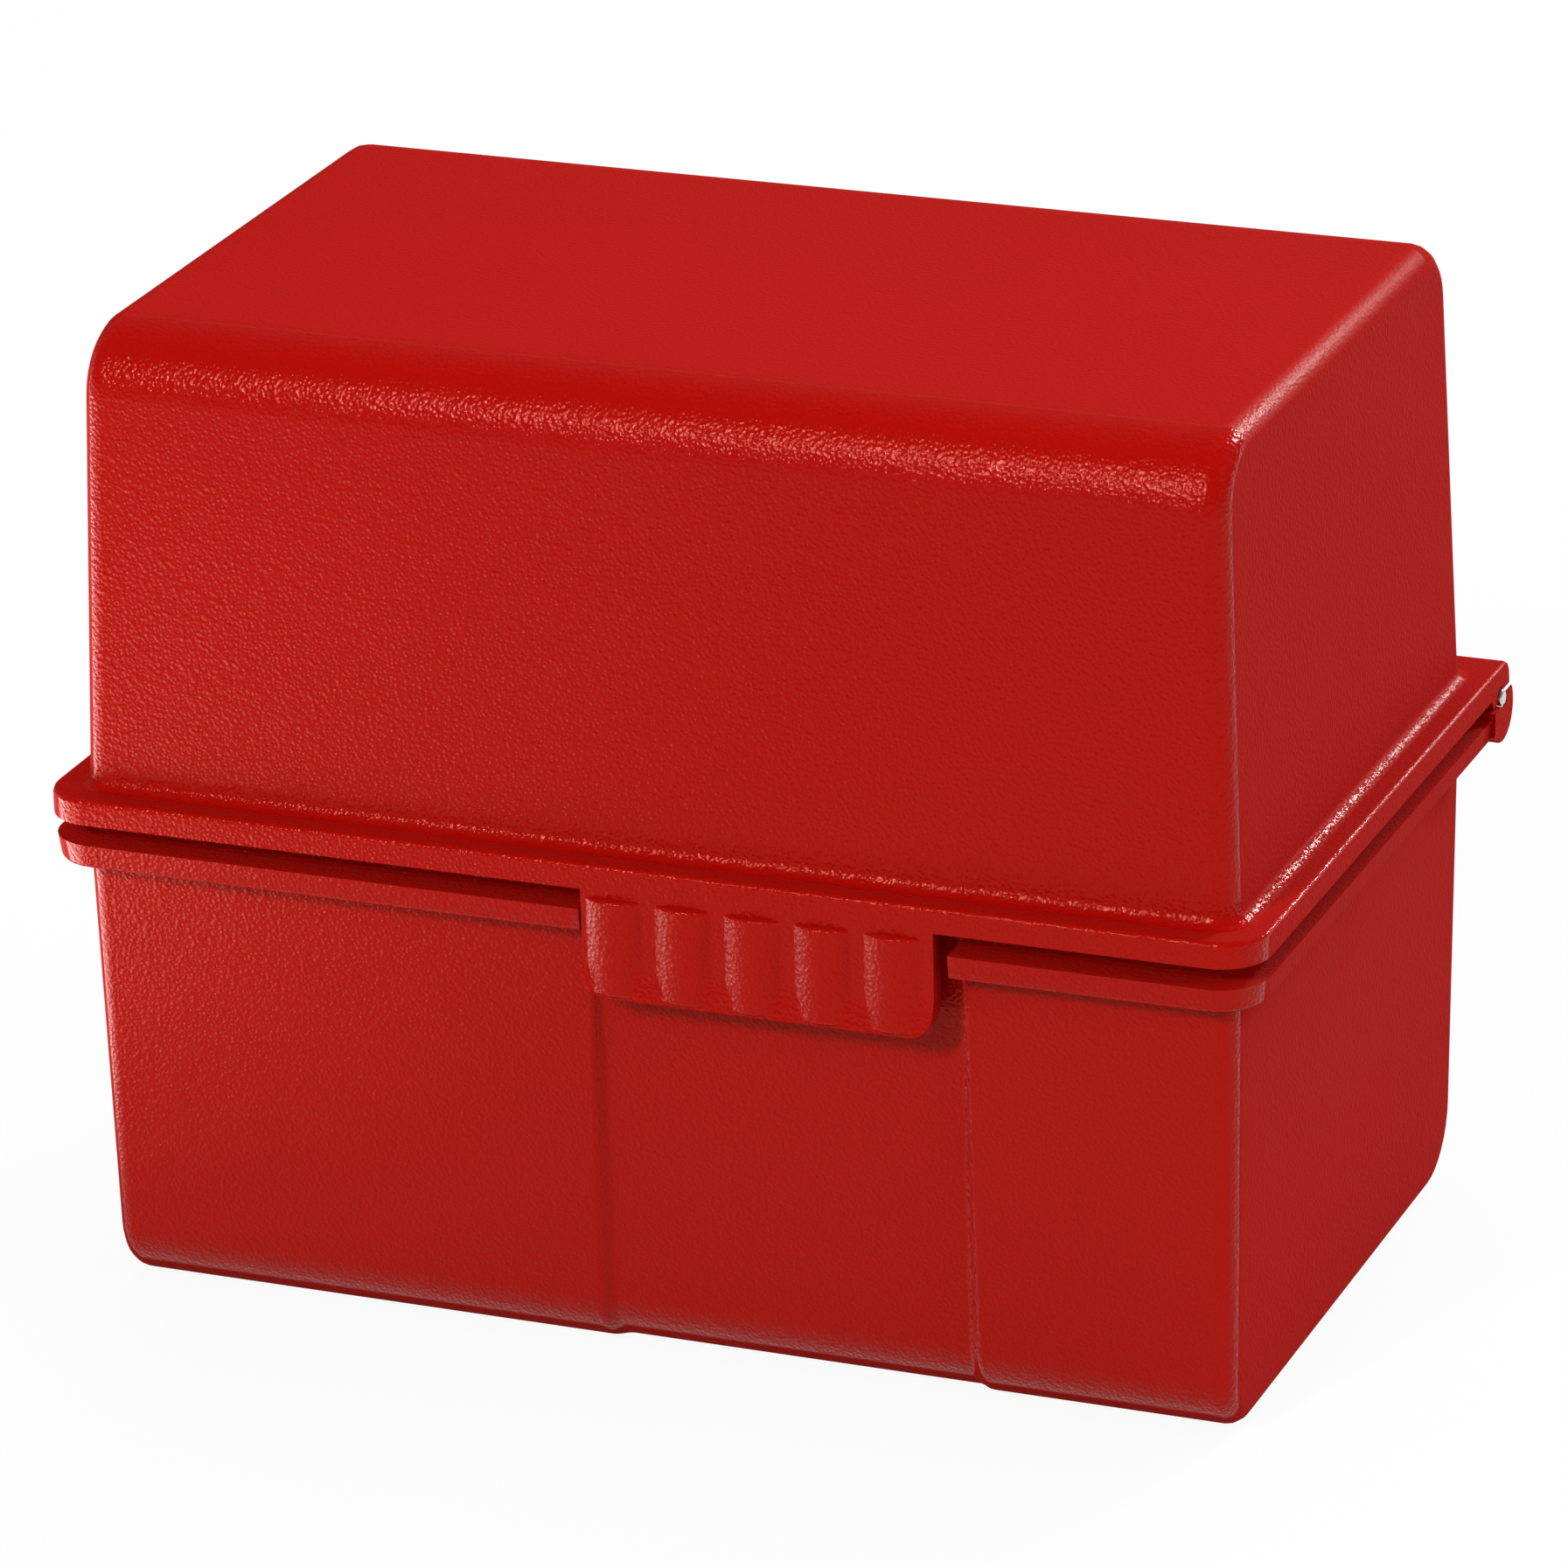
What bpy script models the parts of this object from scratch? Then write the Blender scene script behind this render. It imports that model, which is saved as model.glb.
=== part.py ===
"""A hinged plastic box for A6 index cards: a base tub, a tapered lid and a steel hinge pin.

Metres, +Z up. The box stands on Z = 0, centred on X and Y, and its front faces -Y.
The lid turns about the pin, whose axis is the X line at HINGE_Y, HINGE_Z.
"""

import math

import bmesh
import bpy
from mathutils import Vector

# Overall size of the closed box, over the rims and up to the lid's top.
WIDTH = 0.165
DEPTH = 0.106
HEIGHT = 0.1322
PARTING_Z = 0.0658

# The two tubs: the walls at the rims, and how far they draw in towards their closed ends.
WALL = 0.002
SIDE_OVERHANG = 0.0041
FRONT_OVERHANG = 0.0046
LID_BACK_OVERHANG = 0.0069
BASE_BACK_OVERHANG = 0.0075
LID_SIDE_TAPER = 0.002
LID_FRONT_TAPER = 0.0023
BASE_TAPER = 0.0011
LID_FRONT_RADIUS = 0.0092
LID_BACK_RADIUS = 0.0082
LID_SIDE_RADIUS = 0.0033
BASE_FRONT_RADIUS = 0.0082
BASE_BACK_RADIUS = 0.01
BASE_SIDE_RADIUS = 0.0027

# The rims that meet at the parting plane, with a groove all round the front and sides.
LID_RIM_HEIGHT = 0.0049
BASE_RIM_HEIGHT = 0.0047
BASE_RIM_TAPER = 0.00055
RIM_FRONT_RADIUS = 0.0064
RIM_EDGE_RADIUS = 0.0006
LID_RIM_BACK_ROUND = 0.0022
RIM_LAP = 0.0017
FOOT_FILLET = 0.0017
GROOVE_ABOVE = 0.0015
GROOVE_BELOW = 0.0014
GROOVE_FLOOR = 0.0002
GROOVE_END_INSET = 0.0076
PARTING_GAP = 0.0003

# The grip tab that hangs from the lid's rim over the front of the base.
TAB_X = 0.01685
TAB_WIDTH = 0.0473
TAB_HEIGHT = 0.0126
TAB_THICKNESS = 0.0024
TAB_TAPER = 0.0003
TAB_CORNER_RADIUS = 0.003
TAB_FLARE = 0.0009
TAB_FLARE_HEIGHT = 0.0049
RIB_COUNT = 5
RIB_PITCH = 0.00935
RIB_GROUP_X = 0.0164
RIB_WIDTH = 0.0078
RIB_PROUD = 0.0012
RIB_FLARE = 0.0002
RIB_DROP = 0.0009
RIB_END_RADIUS = 0.0004
RIB_ROOT = 0.0008

# The opening in the base's rim that the tab hangs in, and the sunk band below it.
OPENING_X = 0.01745
OPENING_WIDTH = 0.0495
OPENING_RADIUS = 0.001
BAND_X = 0.01765
BAND_WIDTH = 0.049
BAND_DEPTH = 0.0012
BAND_TOP_SLOPE = 0.0006
BAND_BOTTOM_SLOPE = 0.0015
BAND_EDGE_RADIUS = 0.0005

# The hinge: knuckles in turn on the base and the lid, an ear on each end of the base, and the pin.
HINGE_INSET = 0.0045
HINGE_RISE = 0.0008
PIN_DIAMETER = 0.0024
PIN_CHAMFER = 0.0003
PIN_PROUD = 0.0005
BORE_CLEARANCE = 0.0002
KNUCKLE_RADIUS = 0.0024
KNUCKLE_CLEARANCE = 0.0003
KNUCKLE_GAP = 0.0003
INNER_KNUCKLES = 7
BACK_STEP = 0.0002
FOOT_STEP = 0.0001
LID_RELIEF = 0.0015

# The ears: a stout block below the parting plane, a ring round the pin that the lid's end covers,
# and a thin round cheek outside the lid's end, which holds the pin from below and behind.
EAR_LENGTH = 0.0055
EAR_PROUD = 0.0005
EAR_DEPTH = 0.0083
EAR_RADIUS = 0.0045
EAR_FORWARD = 0.0002
EAR_BELOW = 0.0016
EAR_EDGE_RADIUS = 0.00025
EAR_REST = 0.0002
CHEEK_GAP = 0.0002
CHEEK_TOP = 0.0012
RING_INSET = 0.0004
LID_END_COVER = 0.0014

# How far a cutter runs past what it cuts, how far joined shapes run into each other, how close
# a point is to a level to count as lying on it, and how close corners are to be made one.
OVERRUN = 0.004
LAP = 0.0008
NEAR = 0.00001
WELD = 0.0000008

SMOOTH_ANGLE = math.radians(35)
PLASTIC_RED = (0.52, 0.009, 0.008, 1.0)
STEEL_GREY = (0.62, 0.62, 0.61, 1.0)

HALF_WIDTH = WIDTH / 2
BACK_Y = (DEPTH + RIB_PROUD + RIB_FLARE) / 2
FRONT_Y = BACK_Y - DEPTH
HINGE_Y = BACK_Y - HINGE_INSET
HINGE_Z = PARTING_Z + HINGE_RISE
LID_RIM_BOTTOM_Z = PARTING_Z + PARTING_GAP / 2
LID_RIM_TOP_Z = PARTING_Z + LID_RIM_HEIGHT
BASE_RIM_TOP_Z = PARTING_Z - PARTING_GAP / 2
BASE_RIM_BOTTOM_Z = PARTING_Z - BASE_RIM_HEIGHT
WALL_HALF_WIDTH = HALF_WIDTH - SIDE_OVERHANG
WALL_FRONT_Y = FRONT_Y + FRONT_OVERHANG
LID_WALL_BACK_Y = BACK_Y - LID_BACK_OVERHANG
BASE_WALL_BACK_Y = BACK_Y - BASE_BACK_OVERHANG
BORE_RADIUS = PIN_DIAMETER / 2 + BORE_CLEARANCE
EAR_END_X = HALF_WIDTH + EAR_PROUD
EAR_FRONT_Y = BACK_Y - EAR_DEPTH
OPENING_LEFT_X = OPENING_X - OPENING_WIDTH / 2
OPENING_RIGHT_X = OPENING_X + OPENING_WIDTH / 2


def clear_scene():
    for obj in list(bpy.data.objects):
        bpy.data.objects.remove(obj, do_unlink=True)


def new_collection(name):
    collection = bpy.data.collections.new(name)
    bpy.context.scene.collection.children.link(collection)
    return collection


def new_material(name, colour, roughness, metallic):
    material = bpy.data.materials.new(name)
    material.use_nodes = True
    shader = material.node_tree.nodes["Principled BSDF"]
    shader.inputs["Base Color"].default_value = colour
    shader.inputs["Roughness"].default_value = roughness
    shader.inputs["Metallic"].default_value = metallic
    return material


def object_from(name, shape, collection):
    """Turn a bmesh into an object with smooth shading up to a fixed angle."""
    bmesh.ops.recalc_face_normals(shape, faces=shape.faces)
    if shape.calc_volume(signed=True) < 0:
        bmesh.ops.reverse_faces(shape, faces=shape.faces)
    mesh = bpy.data.meshes.new(name)
    shape.to_mesh(mesh)
    shape.free()
    mesh.shade_smooth()
    mesh.set_sharp_from_angle(angle=SMOOTH_ANGLE)
    obj = bpy.data.objects.new(name, mesh)
    collection.objects.link(obj)
    return obj


def bake(obj):
    """Give the object the mesh that its modifiers make."""
    bpy.context.view_layer.update()
    graph = bpy.context.evaluated_depsgraph_get()
    mesh = bpy.data.meshes.new_from_object(obj.evaluated_get(graph))
    obj.modifiers.clear()
    obj.data = mesh


def combine(obj, other, operation):
    """Add a Boolean with a helper, which stays as a hidden wire object."""
    modifier = obj.modifiers.new(operation.title() + " " + other.name, "BOOLEAN")
    modifier.object = other
    modifier.operation = operation
    modifier.solver = "EXACT"
    other.hide_render = True
    other.display_type = "WIRE"


def merge_now(obj, other, operation):
    """Do a Boolean at once and remove the helper."""
    combine(obj, other, operation)
    bake(obj)
    bpy.data.objects.remove(other, do_unlink=True)


def block(low, high):
    """A box between two corners."""
    shape = bmesh.new()
    bmesh.ops.create_cube(shape, size=1)
    low = Vector(low)
    high = Vector(high)
    middle = (low + high) / 2
    for vert in shape.verts:
        vert.co = Vector(c * s for c, s in zip(vert.co, high - low)) + middle
    return shape


def rod(radius, start_x, end_x, y, z, segments):
    """A round bar along X."""
    shape = bmesh.new()
    bmesh.ops.create_cone(
        shape, cap_ends=True, segments=segments, radius1=radius, radius2=radius, depth=1
    )
    for vert in shape.verts:
        along = vert.co.z + 0.5
        vert.co = Vector((start_x + (end_x - start_x) * along, y + vert.co.x, z + vert.co.y))
    return shape


def edges_where(shape, wanted):
    return [edge for edge in shape.edges if wanted(edge)]


def both(item, test):
    """Whether the test holds at every corner of an edge or a face."""
    return all(test(vert.co) for vert in item.verts)


def round_edges(shape, edges, radius, segments):
    shape.normal_update()
    bmesh.ops.bevel(
        shape, geom=edges, offset=radius, segments=segments, profile=0.5, affect="EDGES"
    )


def tub_solid(open_z, closed_z, back_y, tapers, front_radius, back_radius, side_radius):
    """A drafted box whose long edges at the closed end and whose end edges are rounded."""
    side_taper, front_taper = tapers
    shape = block(
        (-WALL_HALF_WIDTH, WALL_FRONT_Y, min(open_z, closed_z)),
        (WALL_HALF_WIDTH, back_y, max(open_z, closed_z)),
    )
    middle_z = (open_z + closed_z) / 2
    towards_closed = math.copysign(1, closed_z - open_z)
    for vert in shape.verts:
        if (vert.co.z - middle_z) * towards_closed > 0:
            vert.co.x -= math.copysign(side_taper, vert.co.x)
            vert.co.y -= math.copysign(front_taper, vert.co.y)

    def long_edge(sign):
        def wanted(edge):
            closed = both(edge, lambda co: (co.z - middle_z) * towards_closed > 0)
            start, end = (vert.co for vert in edge.verts)
            return closed and start.x * end.x < 0 and start.y * sign > 0

        return wanted

    round_edges(shape, edges_where(shape, long_edge(-1)), front_radius, 8)
    round_edges(shape, edges_where(shape, long_edge(1)), back_radius, 8)

    def end_edge(edge):
        at_opening = both(edge, lambda co: abs(co.z - open_z) < LAP)
        ends = [face for face in edge.link_faces if abs(face.normal.x) > 0.9]
        return len(ends) == 1 and not at_opening

    shape.normal_update()
    round_edges(shape, edges_where(shape, end_edge), side_radius, 4)
    return shape


def sink_band(obj, open_z):
    """Move part of the front wall back by the band's depth, down to and round the bottom edge."""
    shape = bmesh.new()
    shape.from_mesh(obj.data)
    shape.normal_update()
    reach_y = WALL_FRONT_Y + BASE_TAPER + BASE_FRONT_RADIUS + LAP
    half_width = BAND_WIDTH / 2
    borders = []
    for side in (-1, 1):
        for slope_share in (0, 1):
            top = half_width + BAND_TOP_SLOPE * slope_share
            bottom = half_width + BAND_BOTTOM_SLOPE * slope_share
            normal = Vector((open_z * side, 0, bottom - top))
            point = Vector((BAND_X + side * top, 0, open_z))
            borders.append((point, normal))
    for point, normal in borders:
        faces = [face for face in shape.faces
                 if abs(face.normal.x) < 0.5 and both(face, lambda co: co.y < reach_y)]
        geometry = dict.fromkeys(item for face in faces for item in (face, *face.edges, *face.verts))
        bmesh.ops.bisect_plane(
            shape, geom=list(geometry), plane_co=point, plane_no=normal, dist=WELD
        )
    for vert in shape.verts:
        inside = abs(vert.co.x - BAND_X) < half_width + NEAR
        if inside and vert.co.y < reach_y:
            vert.co.y += BAND_DEPTH
    shape.normal_update()

    def along_band(edge):
        front = both(edge, lambda co: co.y < reach_y + BAND_DEPTH)
        near = both(edge, lambda co: abs(abs(co.x - BAND_X) - half_width) < 2 * BAND_BOTTOM_SLOPE)
        start, end = (vert.co for vert in edge.verts)
        lengthwise = abs(start.x - end.x) < (start - end).length / 2
        at_opening = both(edge, lambda co: co.z > open_z - NEAR)
        return front and near and lengthwise and not at_opening

    round_edges(shape, edges_where(shape, along_band), BAND_EDGE_RADIUS, 2)
    shape.to_mesh(obj.data)
    shape.free()


def open_shell(obj, open_z):
    """Take the face off the open end and thicken what is left inwards."""
    shape = bmesh.new()
    shape.from_mesh(obj.data)
    lids = [f for f in shape.faces if all(abs(v.co.z - open_z) < NEAR for v in f.verts)]
    bmesh.ops.delete(shape, geom=lids, context="FACES")
    shape.to_mesh(obj.data)
    shape.free()
    shell = obj.modifiers.new("Wall", "SOLIDIFY")
    shell.thickness = WALL
    shell.offset = -1
    shell.use_even_offset = True
    bake(obj)


def rim_ring(name, low_z, high_z, low_inset, back_y, side_radius, back_round, collection):
    """The flat rim: an outline with round front corners, open over the tub."""
    shape = block((-HALF_WIDTH, FRONT_Y, low_z), (HALF_WIDTH, BACK_Y, high_z))
    if back_round:
        top_back = edges_where(shape, lambda e: both(e, lambda co: co.y > 0 and co.z > low_z + LAP))
        round_edges(shape, top_back, back_round, 5)
    middle_z = (low_z + high_z) / 2
    for vert in shape.verts:
        if vert.co.z < middle_z:
            vert.co.x -= math.copysign(low_inset, vert.co.x)
            vert.co.y += low_inset * (vert.co.y < 0)

    front_corners = edges_where(
        shape, lambda e: both(e, lambda co: co.y < 0) and e.verts[0].co.z != e.verts[1].co.z
    )
    round_edges(shape, front_corners, RIM_FRONT_RADIUS, 7)
    shape.normal_update()
    sharp = edges_where(shape, lambda e: e.calc_face_angle(0) > SMOOTH_ANGLE)
    round_edges(shape, sharp, RIM_EDGE_RADIUS, 2)
    ring = object_from(name, shape, collection)
    hole = block(
        (-WALL_HALF_WIDTH + RIM_LAP, WALL_FRONT_Y + RIM_LAP, low_z - OVERRUN),
        (WALL_HALF_WIDTH - RIM_LAP, back_y - RIM_LAP, high_z + OVERRUN),
    )
    uprights = edges_where(hole, lambda e: e.verts[0].co.z != e.verts[1].co.z)
    round_edges(hole, uprights, side_radius - RIM_LAP, 3)
    merge_now(ring, object_from(name + "_hole", hole, collection), "DIFFERENCE")
    return ring


def groove_cutter(collection):
    """The slot round the parting plane: a slab with a round back end, less what stays inside it."""
    low_z = PARTING_Z - GROOVE_BELOW
    high_z = PARTING_Z + GROOVE_ABOVE
    radius = (high_z - low_z) / 2
    end_y = BACK_Y - GROOVE_END_INSET - radius
    reach = HALF_WIDTH + OVERRUN
    slab = block((-reach, FRONT_Y - OVERRUN, low_z), (reach, end_y, high_z))
    slot = object_from("groove", slab, collection)
    end = rod(radius, -reach, reach, end_y, (low_z + high_z) / 2, 20)
    merge_now(slot, object_from("groove_end", end, collection), "UNION")
    inside_x = WALL_HALF_WIDTH + GROOVE_FLOOR
    keep = block(
        (-inside_x, WALL_FRONT_Y - GROOVE_FLOOR, low_z - OVERRUN),
        (inside_x, BACK_Y + OVERRUN, high_z + OVERRUN),
    )
    corners = edges_where(
        keep, lambda e: both(e, lambda co: co.y < 0) and e.verts[0].co.z != e.verts[1].co.z
    )
    round_edges(keep, corners, LID_SIDE_RADIUS + GROOVE_FLOOR, 4)
    merge_now(slot, object_from("groove_core", keep, collection), "DIFFERENCE")
    return slot


def knuckle_spans():
    """The X spans of the knuckles between the ears, lid and base in turn."""
    start = -HALF_WIDTH + EAR_LENGTH
    pitch = (2 * HALF_WIDTH - 2 * EAR_LENGTH) / INNER_KNUCKLES
    spans = []
    for index in range(INNER_KNUCKLES):
        span = (start + index * pitch, start + (index + 1) * pitch)
        spans.append(span)
    return spans[0::2], spans[1::2]


def flare(vert, low_z, amount):
    """Lean the lower part of the tab's front forwards."""
    share = (low_z + TAB_FLARE_HEIGHT - vert.co.z) / TAB_FLARE_HEIGHT
    vert.co.y -= amount * max(share, 0)


def grip_tab(collection):
    """The hanging tab: a plate whose lower part leans out, with upright rounded ribs."""
    low_z = PARTING_Z - TAB_HEIGHT
    high_z = PARTING_Z + GROOVE_ABOVE + LAP
    shape = block(
        (TAB_X - TAB_WIDTH / 2, FRONT_Y, low_z),
        (TAB_X + TAB_WIDTH / 2, FRONT_Y + TAB_THICKNESS, high_z),
    )
    bend_line(shape, low_z)
    for vert in shape.verts:
        vert.co.x -= math.copysign(TAB_TAPER, vert.co.x - TAB_X) * (vert.co.z < low_z + NEAR)
        if vert.co.y < FRONT_Y + NEAR:
            flare(vert, low_z, TAB_FLARE)
    corners = edges_where(
        shape,
        lambda e: both(e, lambda co: co.z < low_z + NEAR)
        and abs(e.verts[0].co.x - e.verts[1].co.x) < NEAR,
    )
    round_edges(shape, corners, TAB_CORNER_RADIUS, 6)
    tab = object_from("grip_tab", shape, collection)
    for index in range(RIB_COUNT):
        place = RIB_GROUP_X + (index - (RIB_COUNT - 1) / 2) * RIB_PITCH
        merge_now(tab, tab_rib(place, low_z, collection), "UNION")
    return tab


def bend_line(shape, low_z):
    """Cut an edge round the shape where the flare begins."""
    geometry = shape.verts[:] + shape.edges[:] + shape.faces[:]
    bend_z = low_z + TAB_FLARE_HEIGHT
    bmesh.ops.bisect_plane(shape, geom=geometry, plane_co=(0, 0, bend_z), plane_no=(0, 0, 1))


def tab_rib(place, low_z, collection):
    """One rib: the front slice of an upright cylinder, which stands proud of the plate."""
    high_z = PARTING_Z + GROOVE_ABOVE - RIB_DROP
    foot_z = low_z + RIB_END_RADIUS
    radius = (RIB_WIDTH * RIB_WIDTH / 4 + RIB_PROUD * RIB_PROUD) / (2 * RIB_PROUD)
    shape = bmesh.new()
    bmesh.ops.create_cone(
        shape, cap_ends=True, segments=72, radius1=radius, radius2=radius, depth=high_z - foot_z
    )
    centre = Vector((place, FRONT_Y - RIB_PROUD + radius, (high_z + foot_z) / 2))
    bmesh.ops.translate(shape, verts=shape.verts, vec=centre)
    geometry = shape.verts[:] + shape.edges[:] + shape.faces[:]
    slice_at = (0, FRONT_Y + RIB_ROOT, 0)
    bmesh.ops.bisect_plane(
        shape, geom=geometry, plane_co=slice_at, plane_no=(0, 1, 0), clear_outer=True
    )
    bmesh.ops.holes_fill(shape, edges=shape.edges)
    ends = edges_where(
        shape,
        lambda e: abs(e.verts[0].co.z - e.verts[1].co.z) < NEAR
        and not both(e, lambda co: co.y > FRONT_Y + NEAR),
    )
    round_edges(shape, ends, RIB_END_RADIUS, 2)
    bend_line(shape, low_z)
    for vert in shape.verts:
        if vert.co.y < FRONT_Y:
            flare(vert, foot_z, RIB_FLARE)
    return object_from("rib", shape, collection)


def wall_foot_fillet(obj, level_z, radius):
    """Round the inside corner where the tub's wall meets the rim's flat face."""
    shape = bmesh.new()
    shape.from_mesh(obj.data)
    bmesh.ops.remove_doubles(shape, verts=shape.verts, dist=WELD)
    shape.normal_update()

    def at_foot(edge):
        level = both(edge, lambda co: abs(co.z - level_z) < NEAR)
        if not level or len(edge.link_faces) != 2:
            return False
        steep = [face for face in edge.link_faces if abs(face.normal.z) < 0.5]
        return len(steep) == 1 and not edge.is_convex

    round_edges(shape, edges_where(shape, at_foot), radius, 4)
    shape.to_mesh(obj.data)
    shape.free()


def make_lid(parts, cutters, plastic):
    tub = tub_solid(LID_RIM_BOTTOM_Z - LAP, HEIGHT, LID_WALL_BACK_Y,
                    (LID_SIDE_TAPER, LID_FRONT_TAPER),
                    LID_FRONT_RADIUS, LID_BACK_RADIUS, LID_SIDE_RADIUS)
    lid = object_from("lid", tub, parts)
    open_shell(lid, LID_RIM_BOTTOM_Z - LAP)
    ring = rim_ring("lid_rim", LID_RIM_BOTTOM_Z - LAP, LID_RIM_TOP_Z, 0, LID_WALL_BACK_Y,
                    LID_SIDE_RADIUS, LID_RIM_BACK_ROUND, cutters)
    merge_now(lid, ring, "UNION")
    wall_foot_fillet(lid, LID_RIM_TOP_Z, FOOT_FILLET)
    merge_now(lid, groove_cutter(cutters), "DIFFERENCE")
    far_x = HALF_WIDTH + OVERRUN
    below = block((-far_x, FRONT_Y - OVERRUN, LID_RIM_BOTTOM_Z - OVERRUN),
                  (far_x, BACK_Y + OVERRUN, LID_RIM_BOTTOM_Z))
    merge_now(lid, object_from("lid_trim", below, cutters), "DIFFERENCE")
    merge_now(lid, grip_tab(cutters), "UNION")
    relief = block((-far_x, HINGE_Y, LID_RIM_BOTTOM_Z - OVERRUN),
                   (far_x, BACK_Y + OVERRUN, PARTING_Z + LID_RELIEF))
    merge_now(lid, object_from("lid_relief", relief, cutters), "DIFFERENCE")
    lid_spans, base_spans = knuckle_spans()
    for start, end in base_spans + ring_spans():
        room = rod(KNUCKLE_RADIUS + KNUCKLE_CLEARANCE, start - KNUCKLE_GAP, end + KNUCKLE_GAP,
                   HINGE_Y, HINGE_Z, 32)
        merge_now(lid, object_from("knuckle_room", room, cutters), "DIFFERENCE")
    for start, end in lid_spans:
        knuckle = rod(KNUCKLE_RADIUS, start, end, HINGE_Y, HINGE_Z, 32)
        merge_now(lid, object_from("lid_knuckle", knuckle, cutters), "UNION")
    finish_node(lid, plastic)
    return lid


def ring_spans():
    """The X spans of the base's end rings, which the lid's end covers from outside."""
    inner = HALF_WIDTH - EAR_LENGTH + RING_INSET
    outer = HALF_WIDTH - LID_END_COVER
    return [(-outer, -inner), (inner, outer)]


def ear(cutters, side, ring_span):
    """One end of the base's side of the hinge: block, ring and cheek."""
    low_x, high_x = sorted((side * (HALF_WIDTH - EAR_LENGTH), side * EAR_END_X))
    centre_z = HINGE_Z - EAR_BELOW
    disc = rod(EAR_RADIUS, low_x, high_x, HINGE_Y - EAR_FORWARD, centre_z, 40)
    round_ear_face(disc)
    piece = object_from("ear", disc, cutters)
    trim = block((low_x - OVERRUN, EAR_FRONT_Y, centre_z - EAR_RADIUS - OVERRUN),
                 (high_x + OVERRUN, BACK_Y + OVERRUN, PARTING_Z + CHEEK_TOP))
    merge_now(piece, object_from("ear_trim", trim, cutters), "INTERSECT")
    above = block((low_x - OVERRUN, EAR_FRONT_Y - OVERRUN, PARTING_Z - EAR_REST),
                  (high_x + OVERRUN, HINGE_Y + FOOT_STEP, HINGE_Z + OVERRUN))
    merge_now(piece, object_from("ear_top", above, cutters), "DIFFERENCE")
    near_x, far_x = sorted((side * (HALF_WIDTH - EAR_LENGTH - OVERRUN),
                            side * (HALF_WIDTH + CHEEK_GAP)))
    behind = block((near_x, HINGE_Y + FOOT_STEP, centre_z - EAR_RADIUS - OVERRUN),
                   (far_x, BACK_Y + OVERRUN, HINGE_Z + OVERRUN))
    merge_now(piece, object_from("ear_behind", behind, cutters), "DIFFERENCE")
    ring = rod(KNUCKLE_RADIUS, *ring_span, HINGE_Y, HINGE_Z, 32)
    merge_now(piece, object_from("ear_ring", ring, cutters), "UNION")
    return piece


def round_ear_face(shape):
    """Round the edges of the face at the ear's outer end."""
    shape.normal_update()
    rim = edges_where(shape, lambda e: both(e, lambda co: abs(co.x) > EAR_END_X - NEAR)
                      and e.calc_face_angle(0) > SMOOTH_ANGLE)
    round_edges(shape, rim, EAR_EDGE_RADIUS, 2)


def hinge_channel(cutters):
    """What the lid's knuckles and rim need free on the base: a round trough, cut off behind."""
    reach = HALF_WIDTH + OVERRUN
    radius = KNUCKLE_RADIUS + KNUCKLE_CLEARANCE
    trough = object_from("channel", rod(radius, -reach, reach, HINGE_Y, HINGE_Z, 32), cutters)
    back = block((-reach, HINGE_Y + BACK_STEP, BASE_RIM_BOTTOM_Z - OVERRUN),
                 (reach, BACK_Y + OVERRUN, HINGE_Z + OVERRUN))
    merge_now(trough, object_from("channel_back", back, cutters), "UNION")
    return trough


def make_base(parts, cutters, plastic):
    tub = tub_solid(BASE_RIM_TOP_Z + LAP, 0, BASE_WALL_BACK_Y, (BASE_TAPER, BASE_TAPER),
                    BASE_FRONT_RADIUS, BASE_BACK_RADIUS, BASE_SIDE_RADIUS)
    base = object_from("base", tub, parts)
    open_shell(base, BASE_RIM_TOP_Z + LAP)
    sink_band(base, BASE_RIM_TOP_Z + LAP)
    ring = rim_ring("base_rim", BASE_RIM_BOTTOM_Z, BASE_RIM_TOP_Z + LAP, BASE_RIM_TAPER,
                    BASE_WALL_BACK_Y, BASE_SIDE_RADIUS, 0, cutters)
    opening = block((OPENING_LEFT_X, FRONT_Y - OVERRUN, BASE_RIM_BOTTOM_Z - OVERRUN),
                    (OPENING_RIGHT_X, WALL_FRONT_Y + BAND_DEPTH, BASE_RIM_TOP_Z + OVERRUN))
    merge_now(ring, object_from("tab_opening", opening, cutters), "DIFFERENCE")
    round_opening(ring)
    merge_now(base, ring, "UNION")
    merge_now(base, groove_cutter(cutters), "DIFFERENCE")
    far_x = HALF_WIDTH + OVERRUN
    above = block((-far_x, FRONT_Y - OVERRUN, BASE_RIM_TOP_Z),
                  (far_x, BACK_Y + OVERRUN, BASE_RIM_TOP_Z + OVERRUN))
    merge_now(base, object_from("base_trim", above, cutters), "DIFFERENCE")
    merge_now(base, hinge_channel(cutters), "DIFFERENCE")
    for start, end in knuckle_spans()[1]:
        span = (start + KNUCKLE_GAP, end - KNUCKLE_GAP)
        knuckle = object_from("knuckle", rod(KNUCKLE_RADIUS, *span, HINGE_Y, HINGE_Z, 32), cutters)
        foot = block((span[0], HINGE_Y - KNUCKLE_RADIUS - LAP, HINGE_Z - KNUCKLE_RADIUS - LAP),
                     (span[1], HINGE_Y + FOOT_STEP, PARTING_Z - EAR_REST))
        merge_now(knuckle, object_from("knuckle_foot", foot, cutters), "UNION")
        merge_now(base, knuckle, "UNION")
    for side, ring_span in zip((-1, 1), ring_spans()):
        merge_now(base, ear(cutters, side, ring_span), "UNION")
    finish_node(base, plastic)
    return base


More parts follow.
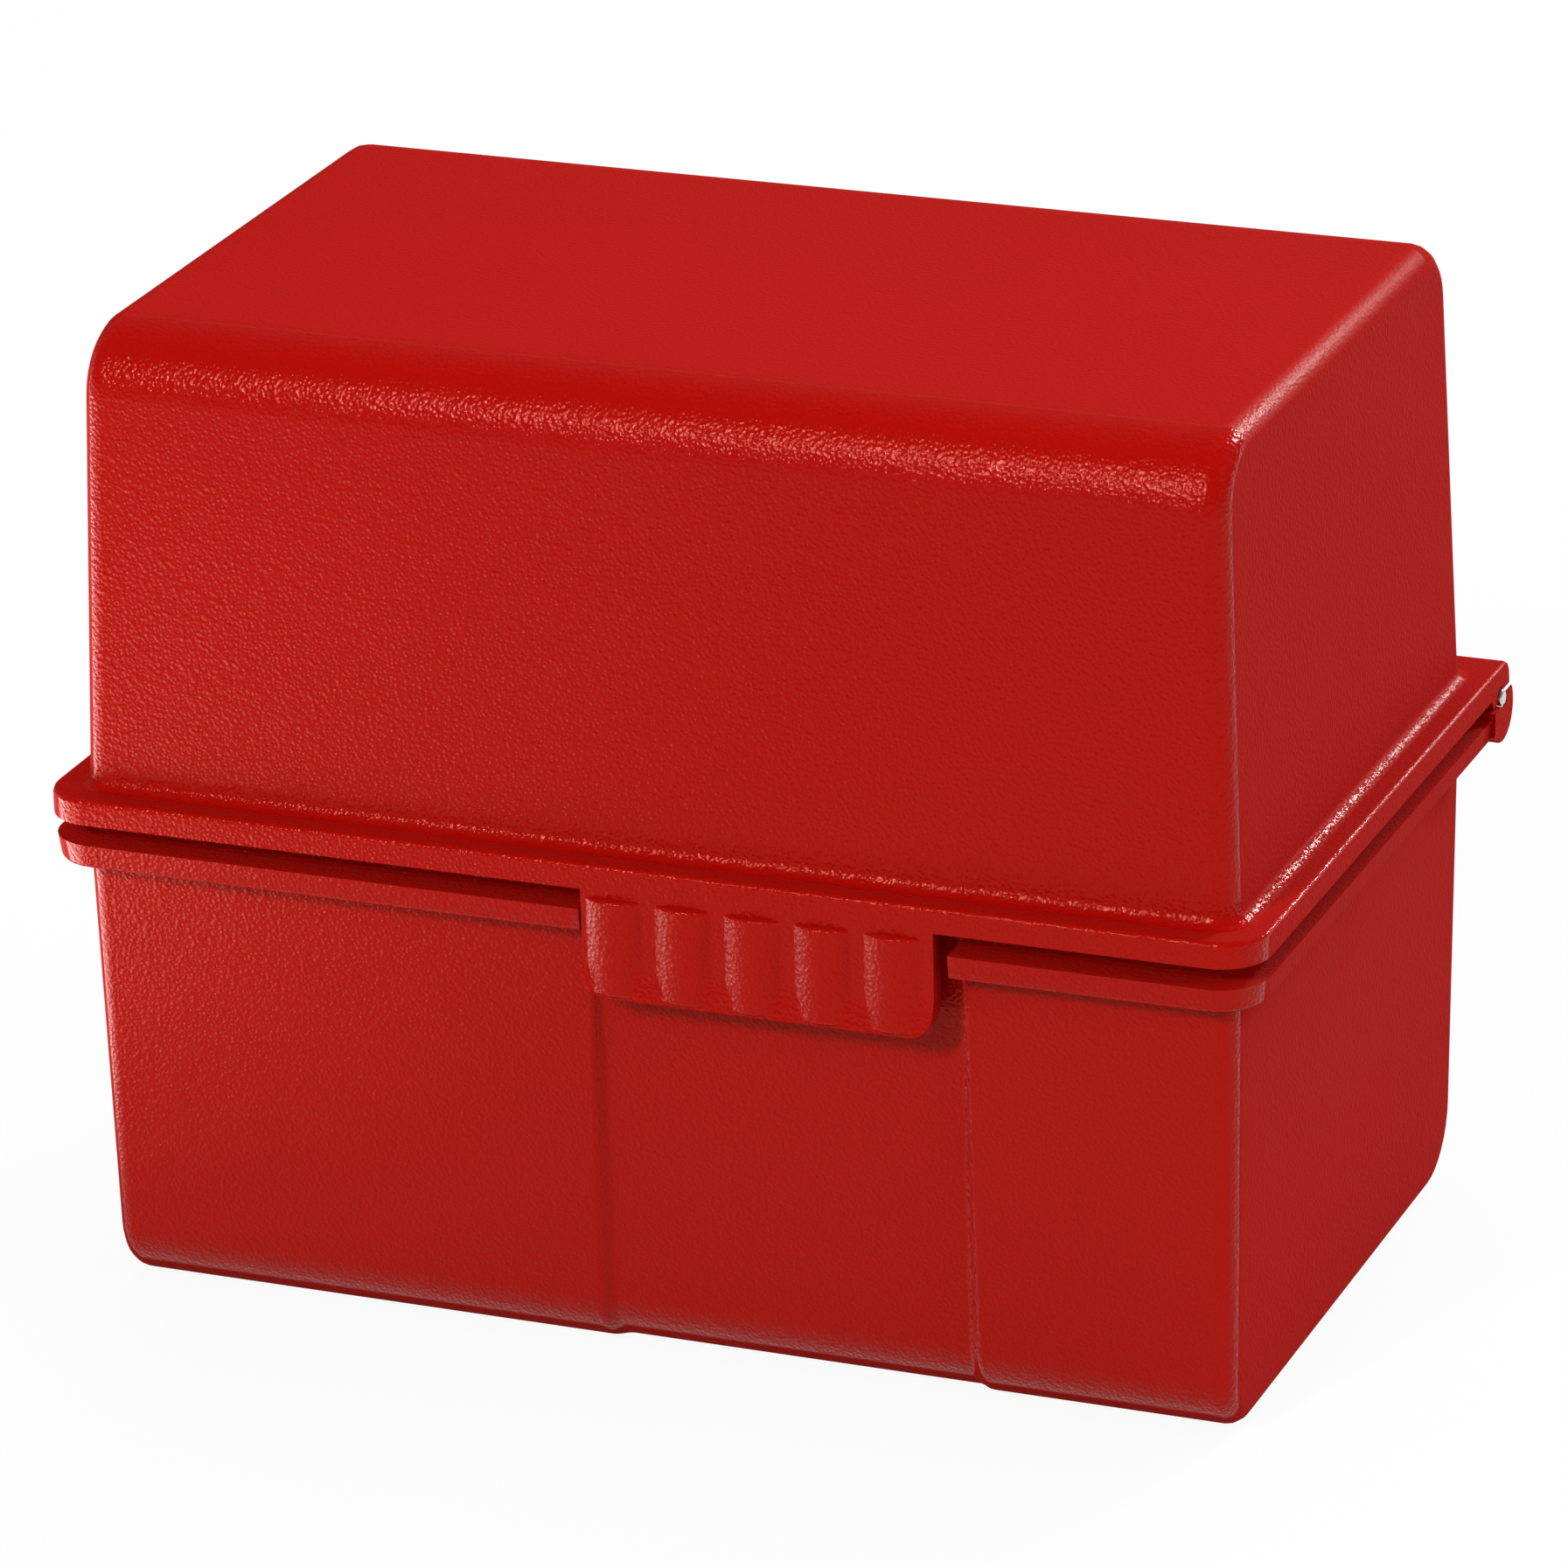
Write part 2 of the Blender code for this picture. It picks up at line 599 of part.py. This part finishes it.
def round_opening(ring):
    """Round the upright corners of the rim on both sides of the tab's opening."""
    shape = bmesh.new()
    shape.from_mesh(ring.data)
    bmesh.ops.remove_doubles(shape, verts=shape.verts, dist=WELD)
    shape.normal_update()

    def at_mouth(edge):
        start, end = (vert.co for vert in edge.verts)
        near = min(abs(start.x - OPENING_LEFT_X), abs(start.x - OPENING_RIGHT_X)) < NEAR
        upright = abs(start.x - end.x) < NEAR and abs(start.z - end.z) > RIM_EDGE_RADIUS
        return near and upright and both(edge, lambda co: co.y < FRONT_Y + LAP)

    round_edges(shape, edges_where(shape, at_mouth), OPENING_RADIUS, 3)
    shape.to_mesh(ring.data)
    shape.free()


def finish_node(obj, material):
    shape = bmesh.new()
    shape.from_mesh(obj.data)
    bmesh.ops.remove_doubles(shape, verts=shape.verts, dist=WELD)
    shape.to_mesh(obj.data)
    shape.free()
    obj.data.shade_smooth()
    obj.data.set_sharp_from_angle(angle=SMOOTH_ANGLE)
    obj.data.materials.clear()
    obj.data.materials.append(material)


def make_pin(parts, steel):
    end_x = HALF_WIDTH + PIN_PROUD
    shape = rod(PIN_DIAMETER / 2, -end_x, end_x, 0, 0, 24)
    ends = edges_where(shape, lambda e: abs(e.verts[0].co.x - e.verts[1].co.x) < NEAR)
    round_edges(shape, ends, PIN_CHAMFER, 1)
    pin = object_from("hinge_pin", shape, parts)
    pin.location = (0, HINGE_Y, HINGE_Z)
    finish_node(pin, steel)
    return pin


def cut_bore(obj, cutters):
    reach = EAR_END_X + OVERRUN
    bore = rod(BORE_RADIUS, -reach, reach, HINGE_Y, HINGE_Z, 24)
    combine(obj, object_from("bore_of_" + obj.name, bore, cutters), "DIFFERENCE")


def hang_on_hinge(lid):
    """Put the lid's origin on the hinge axis, where it turns."""
    axis = Vector((0, HINGE_Y, HINGE_Z))
    for vert in lid.data.vertices:
        vert.co -= axis
    lid.location = axis


def main():
    clear_scene()
    parts = new_collection("index_card_box")
    cutters = new_collection("cutters")
    plastic = new_material("red_plastic", PLASTIC_RED, 0.38, 0.0)
    steel = new_material("steel", STEEL_GREY, 0.3, 1.0)
    base = make_base(parts, cutters, plastic)
    lid = make_lid(parts, cutters, plastic)
    hang_on_hinge(lid)
    make_pin(parts, steel)
    cut_bore(base, cutters)
    cut_bore(lid, cutters)


main()
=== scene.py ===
"""Looks of the index card box: two moulded tubs in grained red plastic and a steel hinge pin."""

import math

import bpy
from mathutils import Matrix, Vector


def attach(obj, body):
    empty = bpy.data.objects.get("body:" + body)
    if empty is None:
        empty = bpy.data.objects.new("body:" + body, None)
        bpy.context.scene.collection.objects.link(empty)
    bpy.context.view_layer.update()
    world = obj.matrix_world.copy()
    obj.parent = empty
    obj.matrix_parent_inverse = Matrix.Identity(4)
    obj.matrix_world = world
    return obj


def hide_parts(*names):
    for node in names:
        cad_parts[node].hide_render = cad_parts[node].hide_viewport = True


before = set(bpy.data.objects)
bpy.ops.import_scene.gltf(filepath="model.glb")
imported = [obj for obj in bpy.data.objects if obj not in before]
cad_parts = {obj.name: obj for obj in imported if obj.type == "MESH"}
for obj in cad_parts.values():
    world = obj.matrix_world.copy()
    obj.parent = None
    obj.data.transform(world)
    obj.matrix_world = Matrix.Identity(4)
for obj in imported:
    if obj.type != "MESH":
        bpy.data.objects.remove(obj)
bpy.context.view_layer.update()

# Merging and shading of the moulded pieces
WELD_DISTANCE = 0.000002
FLAT_ANGLE = math.radians(0.5)
SHARP_ANGLE = math.radians(50)

# Groove over the base's rim, to the left of the grip tab
GROOVE_LOW, GROOVE_HIGH = 0.0644, 0.0673
GROOVE_END_Y = 0.04465
GROOVE_START_X = -0.0069
WALL_X, WALL_Y = -0.0786, -0.0479
WALL_CORNER_RADIUS = 0.0035
CORE_LOW, CORE_HIGH = 0.06, 0.07
PAST_RIM_X, PAST_RIM_Y = -0.09, 0.06

# Red plastic
PEBBLES_PER_METRE = 2000.0
GRAIN_DEPTH = 0.00014
PLASTIC_ROUGHNESS = 0.17
DARKER_RED = (0.335, 0.0020, 0.0010, 1)
LIGHTER_RED = (0.375, 0.0030, 0.0014, 1)
WARM_GLOSS = (1.0, 0.38, 0.26, 1)

# Steel
STEEL_DARK = (0.55, 0.55, 0.54, 1)
STEEL_LIGHT = (0.72, 0.72, 0.71, 1)

# Stage
FLOOR_SIZE = 14
FLOOR_Z = -0.0002
FLOOR_WHITE_SHARE = 0.88
FLOOR_WHITE_STRENGTH = 1.05
STUDIO_STRENGTH = 0.14
BOX_MIDDLE = (0, 0, 0.07)

# The photograph's viewpoint, in metres, degrees and the photograph's own pixels
CAMERA_PLACE = (0.3966, -0.9819, 0.4793)
CAMERA_TURN, CAMERA_TILT, CAMERA_ROLL = 22.482, 21.46, -1.646
PHOTO_PIXELS = 1793
FOCAL_PIXELS = 9957.3
CENTRE_PIXEL = (816.9, 895.9)
SENSOR_MM = 36


# Small helpers

def deselect_everything():
    if bpy.context.object and bpy.context.object.mode != "OBJECT":
        bpy.ops.object.mode_set(mode="OBJECT")
    bpy.ops.object.select_all(action="DESELECT")


def pick(obj):
    """Select one object alone and make it the active one."""
    deselect_everything()
    obj.select_set(True)
    bpy.context.view_layer.objects.active = obj


def merged_copy(node, name):
    """A copy of a CAD node with its loose triangles joined into one skin."""
    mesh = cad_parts[node].data.copy()
    obj = bpy.data.objects.new(name, mesh)
    bpy.context.scene.collection.objects.link(obj)
    pick(obj)
    bpy.ops.mesh.customdata_custom_splitnormals_clear()
    bpy.ops.object.mode_set(mode="EDIT")
    bpy.ops.mesh.select_all(action="SELECT")
    bpy.ops.mesh.remove_doubles(threshold=WELD_DISTANCE)
    bpy.ops.mesh.dissolve_limited(angle_limit=FLAT_ANGLE)
    bpy.ops.object.mode_set(mode="OBJECT")
    return obj


def even_shading(obj):
    """Smooth over the rounded edges, with the flat faces kept flat."""
    pick(obj)
    bpy.ops.object.shade_smooth_by_angle(angle=SHARP_ANGLE)
    even = obj.modifiers.new("Even shading", "WEIGHTED_NORMAL")
    even.keep_sharp = True
    bpy.ops.object.modifier_apply(modifier=even.name)


def cut(obj, tool, name):
    """Take the tool's shape out of the object and throw the tool away."""
    take = obj.modifiers.new(name, "BOOLEAN")
    take.operation = "DIFFERENCE"
    take.solver = "EXACT"
    take.object = tool
    pick(obj)
    bpy.ops.object.modifier_apply(modifier=take.name)
    bpy.data.objects.remove(tool, do_unlink=True)


def slab(name, low, high):
    """A cube primitive at its size and place, between two corners."""
    deselect_everything()
    middle = [(a + b) / 2 for a, b in zip(low, high)]
    lengths = [b - a for a, b in zip(low, high)]
    bpy.ops.mesh.primitive_cube_add(size=1, location=middle, scale=lengths)
    obj = bpy.context.object
    obj.name = name
    bpy.ops.object.transform_apply(location=True, rotation=True, scale=True)
    return obj


def select_edges(obj, wanted):
    """Select, in edit mode, the edges whose two ends pass the test."""
    pick(obj)
    bpy.ops.object.mode_set(mode="EDIT")
    bpy.ops.mesh.select_mode(type="EDGE")
    bpy.ops.mesh.select_all(action="DESELECT")
    bpy.ops.object.mode_set(mode="OBJECT")
    for edge in obj.data.edges:
        edge.select = all(wanted(obj.data.vertices[i].co) for i in edge.vertices)
    bpy.ops.object.mode_set(mode="EDIT")


def groove_left():
    """The slot over the base's rim, from the grip tab round to the left side, square at its end."""
    tool = slab("slot", (PAST_RIM_X, -PAST_RIM_Y, GROOVE_LOW),
                (GROOVE_START_X, GROOVE_END_Y, GROOVE_HIGH))
    core = slab("slot_core", (WALL_X, WALL_Y, CORE_LOW), (0, PAST_RIM_Y, CORE_HIGH))
    select_edges(core, lambda co: co.x < GROOVE_START_X and co.y < 0)
    bpy.ops.mesh.bevel(offset=WALL_CORNER_RADIUS, segments=6, affect="EDGES")
    bpy.ops.object.mode_set(mode="OBJECT")
    cut(tool, core, "Core")
    return tool


# Materials

def group_socket(group, name, direction, value=None):
    """A number going into or out of a node group."""
    socket = group.interface.new_socket(name=name, in_out=direction,
                                        socket_type="NodeSocketFloat")
    if value is not None:
        socket.default_value = value


def new_material(name):
    """A material with its nodes, its links and its Principled shader."""
    material = bpy.data.materials.new(name)
    material.use_nodes = True
    tree = material.node_tree
    return material, tree.nodes, tree.links, tree.nodes.get("Principled BSDF")


def noise(nodes, scale, detail):
    texture = nodes.new("ShaderNodeTexNoise")
    texture.inputs["Scale"].default_value = scale
    texture.inputs["Detail"].default_value = detail
    return texture


def colour_between(nodes, links, low, high, factor):
    """A colour that goes from one to the other as the factor goes from 0 to 1."""
    tone = nodes.new("ShaderNodeMix")
    tone.data_type = "RGBA"
    tone.inputs["A"].default_value = low
    tone.inputs["B"].default_value = high
    links.new(factor, tone.inputs["Factor"])
    return tone.outputs["Result"]


def bumped(nodes, links, height, strength, depth, shader):
    bump = nodes.new("ShaderNodeBump")
    bump.inputs["Strength"].default_value = strength
    bump.inputs["Distance"].default_value = depth
    links.new(height, bump.inputs["Height"])
    links.new(bump.outputs["Normal"], shader.inputs["Normal"])


def moulded_grain_group():
    """Leather grain of a textured mould, as a height, and the small changes it makes in gloss."""
    group = bpy.data.node_groups.new("moulded_grain", "ShaderNodeTree")
    group_socket(group, "Pebbles per metre", "INPUT", PEBBLES_PER_METRE)
    group_socket(group, "Base roughness", "INPUT", 0.4)
    group_socket(group, "Roughness spread", "INPUT", 0.1)
    group_socket(group, "Height", "OUTPUT")
    group_socket(group, "Roughness", "OUTPUT")
    nodes, links = group.nodes, group.links
    given = nodes.new("NodeGroupInput")
    result = nodes.new("NodeGroupOutput")
    place = nodes.new("ShaderNodeTexCoord")
    pebbles = nodes.new("ShaderNodeTexVoronoi")
    pebbles.feature = "SMOOTH_F1"
    pebbles.inputs["Smoothness"].default_value = 0.6
    pebbles.inputs["Randomness"].default_value = 1.0
    fine = nodes.new("ShaderNodeTexNoise")
    fine.inputs["Detail"].default_value = 3.0
    fine.inputs["Roughness"].default_value = 0.6
    finer = nodes.new("ShaderNodeMath")
    finer.operation = "MULTIPLY"
    finer.inputs[1].default_value = 1.7
    links.new(given.outputs["Pebbles per metre"], finer.inputs[0])
    links.new(place.outputs["Object"], pebbles.inputs["Vector"])
    links.new(place.outputs["Object"], fine.inputs["Vector"])
    links.new(given.outputs["Pebbles per metre"], pebbles.inputs["Scale"])
    links.new(finer.outputs[0], fine.inputs["Scale"])
    pebbles_and_fine = nodes.new("ShaderNodeMix")
    pebbles_and_fine.data_type = "FLOAT"
    pebbles_and_fine.inputs["Factor"].default_value = 0.25
    links.new(pebbles.outputs["Distance"], pebbles_and_fine.inputs["A"])
    links.new(fine.outputs["Fac"], pebbles_and_fine.inputs["B"])
    links.new(pebbles_and_fine.outputs["Result"], result.inputs["Height"])
    patches = noise(nodes, 35.0, 4.0)
    links.new(place.outputs["Object"], patches.inputs["Vector"])
    centred = nodes.new("ShaderNodeMath")
    centred.operation = "SUBTRACT"
    centred.inputs[1].default_value = 0.5
    links.new(patches.outputs["Fac"], centred.inputs[0])
    spread = nodes.new("ShaderNodeMath")
    spread.operation = "MULTIPLY_ADD"
    links.new(centred.outputs[0], spread.inputs[0])
    links.new(given.outputs["Roughness spread"], spread.inputs[1])
    links.new(given.outputs["Base roughness"], spread.inputs[2])
    links.new(spread.outputs[0], result.inputs["Roughness"])
    return group


def red_plastic(grain_group):
    """Through-dyed red plastic with a satin gloss and a fine moulded grain."""
    material, nodes, links, shader = new_material("grained_red_plastic")
    shader.inputs["IOR"].default_value = 1.5
    shader.inputs["Specular IOR Level"].default_value = 0.27
    shader.inputs["Specular Tint"].default_value = WARM_GLOSS
    grain = nodes.new("ShaderNodeGroup")
    grain.node_tree = grain_group
    grain.inputs["Base roughness"].default_value = PLASTIC_ROUGHNESS
    place = nodes.new("ShaderNodeTexCoord")
    cloud = noise(nodes, 18.0, 3.0)
    links.new(place.outputs["Object"], cloud.inputs["Vector"])
    red = colour_between(nodes, links, DARKER_RED, LIGHTER_RED, cloud.outputs["Fac"])
    links.new(red, shader.inputs["Base Color"])
    edge_on = nodes.new("ShaderNodeLayerWeight")
    edge_on.inputs["Blend"].default_value = 0.5
    matter = nodes.new("ShaderNodeMapRange")
    matter.inputs["From Min"].default_value = 0.53
    matter.inputs["From Max"].default_value = 0.62
    matter.inputs["To Max"].default_value = 0.8
    links.new(edge_on.outputs["Facing"], matter.inputs["Value"])
    gloss = nodes.new("ShaderNodeMath")
    gloss.operation = "ADD"
    links.new(grain.outputs["Roughness"], gloss.inputs[0])
    links.new(matter.outputs["Result"], gloss.inputs[1])
    links.new(gloss.outputs[0], shader.inputs["Roughness"])
    bumped(nodes, links, grain.outputs["Height"], 1.0, GRAIN_DEPTH, shader)
    return material


def pin_steel():
    """Drawn steel wire: fine lines along the pin and a cut, slightly rough end."""
    material, nodes, links, shader = new_material("drawn_steel")
    shader.inputs["Metallic"].default_value = 1.0
    place = nodes.new("ShaderNodeTexCoord")
    stretch = nodes.new("ShaderNodeMapping")
    stretch.inputs["Scale"].default_value = (40, 3000, 3000)
    links.new(place.outputs["Object"], stretch.inputs["Vector"])
    lines = noise(nodes, 1.0, 4.0)
    links.new(stretch.outputs["Vector"], lines.inputs["Vector"])
    tone = colour_between(nodes, links, STEEL_DARK, STEEL_LIGHT, lines.outputs["Fac"])
    links.new(tone, shader.inputs["Base Color"])
    gloss = nodes.new("ShaderNodeMapRange")
    gloss.inputs["To Min"].default_value = 0.22
    gloss.inputs["To Max"].default_value = 0.42
    links.new(lines.outputs["Fac"], gloss.inputs["Value"])
    links.new(gloss.outputs["Result"], shader.inputs["Roughness"])
    bumped(nodes, links, lines.outputs["Fac"], 0.3, 0.00003, shader)
    return material


# Stage

def greater(nodes, links, first, second):
    """The greater of two numbers."""
    node = nodes.new("ShaderNodeMath")
    node.operation = "MAXIMUM"
    links.new(first, node.inputs[0])
    links.new(second, node.inputs[1])
    return node.outputs[0]


def seen_rays(nodes, links, share):
    """The share for rays from the camera, a mirror or clear glass, and 0 for the rest."""
    path = nodes.new("ShaderNodeLightPath")
    seen = greater(nodes, links, path.outputs["Is Camera Ray"], path.outputs["Is Glossy Ray"])
    seen = greater(nodes, links, seen, path.outputs["Is Transmission Ray"])
    scaled = nodes.new("ShaderNodeMath")
    scaled.operation = "MULTIPLY"
    scaled.inputs[1].default_value = share
    links.new(seen, scaled.inputs[0])
    return scaled.outputs[0]


def lay_floor():
    """A pale floor that reads as white to the camera and keeps the box's shadow."""
    deselect_everything()
    bpy.ops.mesh.primitive_plane_add(size=FLOOR_SIZE, location=(0, 0, FLOOR_Z))
    floor = bpy.context.object
    floor.name = "floor"
    material, nodes, links, shader = new_material("floor_white")
    nodes.remove(shader)
    paper = nodes.new("ShaderNodeBsdfDiffuse")
    paper.inputs["Color"].default_value = (0.5, 0.5, 0.5, 1)
    white = nodes.new("ShaderNodeEmission")
    white.inputs["Color"].default_value = (1, 1, 1, 1)
    white.inputs["Strength"].default_value = FLOOR_WHITE_STRENGTH
    mix = nodes.new("ShaderNodeMixShader")
    links.new(seen_rays(nodes, links, FLOOR_WHITE_SHARE), mix.inputs["Fac"])
    links.new(paper.outputs[0], mix.inputs[1])
    links.new(white.outputs[0], mix.inputs[2])
    links.new(mix.outputs[0], nodes["Material Output"].inputs["Surface"])
    floor.data.materials.append(material)


def hang_world():
    """A dim, even studio all round."""
    world = bpy.data.worlds.new("studio")
    bpy.context.scene.world = world
    world.use_nodes = True
    ground = world.node_tree.nodes["Background"]
    ground.inputs["Color"].default_value = (1, 1, 1, 1)
    ground.inputs["Strength"].default_value = STUDIO_STRENGTH


def soft_box(name, place, target, width, height, watts):
    """A rectangular lamp that looks at its target."""
    light = bpy.data.lights.new(name, "AREA")
    light.shape = "RECTANGLE"
    light.size = width
    light.size_y = height
    light.energy = watts
    obj = bpy.data.objects.new(name, light)
    obj.location = place
    obj.rotation_mode = "QUATERNION"
    obj.rotation_quaternion = (Vector(target) - Vector(place)).to_track_quat("-Z", "Y")
    bpy.context.scene.collection.objects.link(obj)
    return obj


def hang_lights():
    """Two lamps for the highlights, a card at the left and three wide fills."""
    soft_box("key", (-0.24, -1.06, 0.72), (0, 0, 0.11), 0.13, 0.19, 9)
    soft_box("back", (0.55, 1.25, 0.66), BOX_MIDDLE, 0.2, 0.16, 9)
    card = soft_box("bounce card", (-0.265, -0.06, 0.002), (-0.265, -0.06, 1), 0.27, 0.28, 1.3)
    card.visible_camera = False
    for name, place, size, watts in (
        ("overhead", (0.0, 1.0, 2.0), 2.0, 33),
        ("side fill", (1.6, -0.1, 0.9), 0.9, 14),
        ("front fill", (0.2, -2.2, 1.5), 2.2, 14),
    ):
        fill = soft_box(name, place, BOX_MIDDLE, size, size, watts)
        fill.visible_glossy = False


def set_camera():
    """The photograph's viewpoint, found by fitting the box's edges to it."""
    turn, tilt, roll = (math.radians(a) for a in (CAMERA_TURN, CAMERA_TILT, CAMERA_ROLL))
    side = Vector((math.cos(turn), math.sin(turn), 0))
    ahead = Vector((-math.sin(turn) * math.cos(tilt), math.cos(turn) * math.cos(tilt),
                    -math.sin(tilt)))
    above = side.cross(ahead)
    rolled_side = side * math.cos(roll) + above * math.sin(roll)
    rolled_above = -side * math.sin(roll) + above * math.cos(roll)
    placed = Matrix((rolled_side, rolled_above, -ahead)).transposed().to_4x4()
    placed.translation = Vector(CAMERA_PLACE)
    data = bpy.data.cameras.new("camera")
    data.sensor_fit = "HORIZONTAL"
    data.sensor_width = SENSOR_MM
    data.lens = SENSOR_MM * FOCAL_PIXELS / PHOTO_PIXELS
    data.shift_x = (PHOTO_PIXELS / 2 - CENTRE_PIXEL[0]) / PHOTO_PIXELS
    data.shift_y = (CENTRE_PIXEL[1] - PHOTO_PIXELS / 2) / PHOTO_PIXELS
    camera = bpy.data.objects.new("camera", data)
    camera.matrix_world = placed
    bpy.context.scene.collection.objects.link(camera)
    bpy.context.scene.camera = camera


set_camera()
bpy.context.scene.view_settings.view_transform = "Standard"
lay_floor()
hang_world()
hang_lights()

# The box
red = red_plastic(moulded_grain_group())
steel = pin_steel()
for piece_name, node, body, material, slot in (
    ("card_box_lid", "lid", "lid", red, "red_plastic"),
    ("card_box_base", "base", "base", red, "red_plastic"),
    ("card_box_pin", "hinge_pin", "base", steel, "steel"),
):
    piece = merged_copy(node, piece_name)
    if node == "base":
        cut(piece, groove_left(), "Groove")
    even_shading(piece)
    piece.data.materials.clear()
    piece.data.materials.append(material)
    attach(piece, body)
    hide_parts(node)
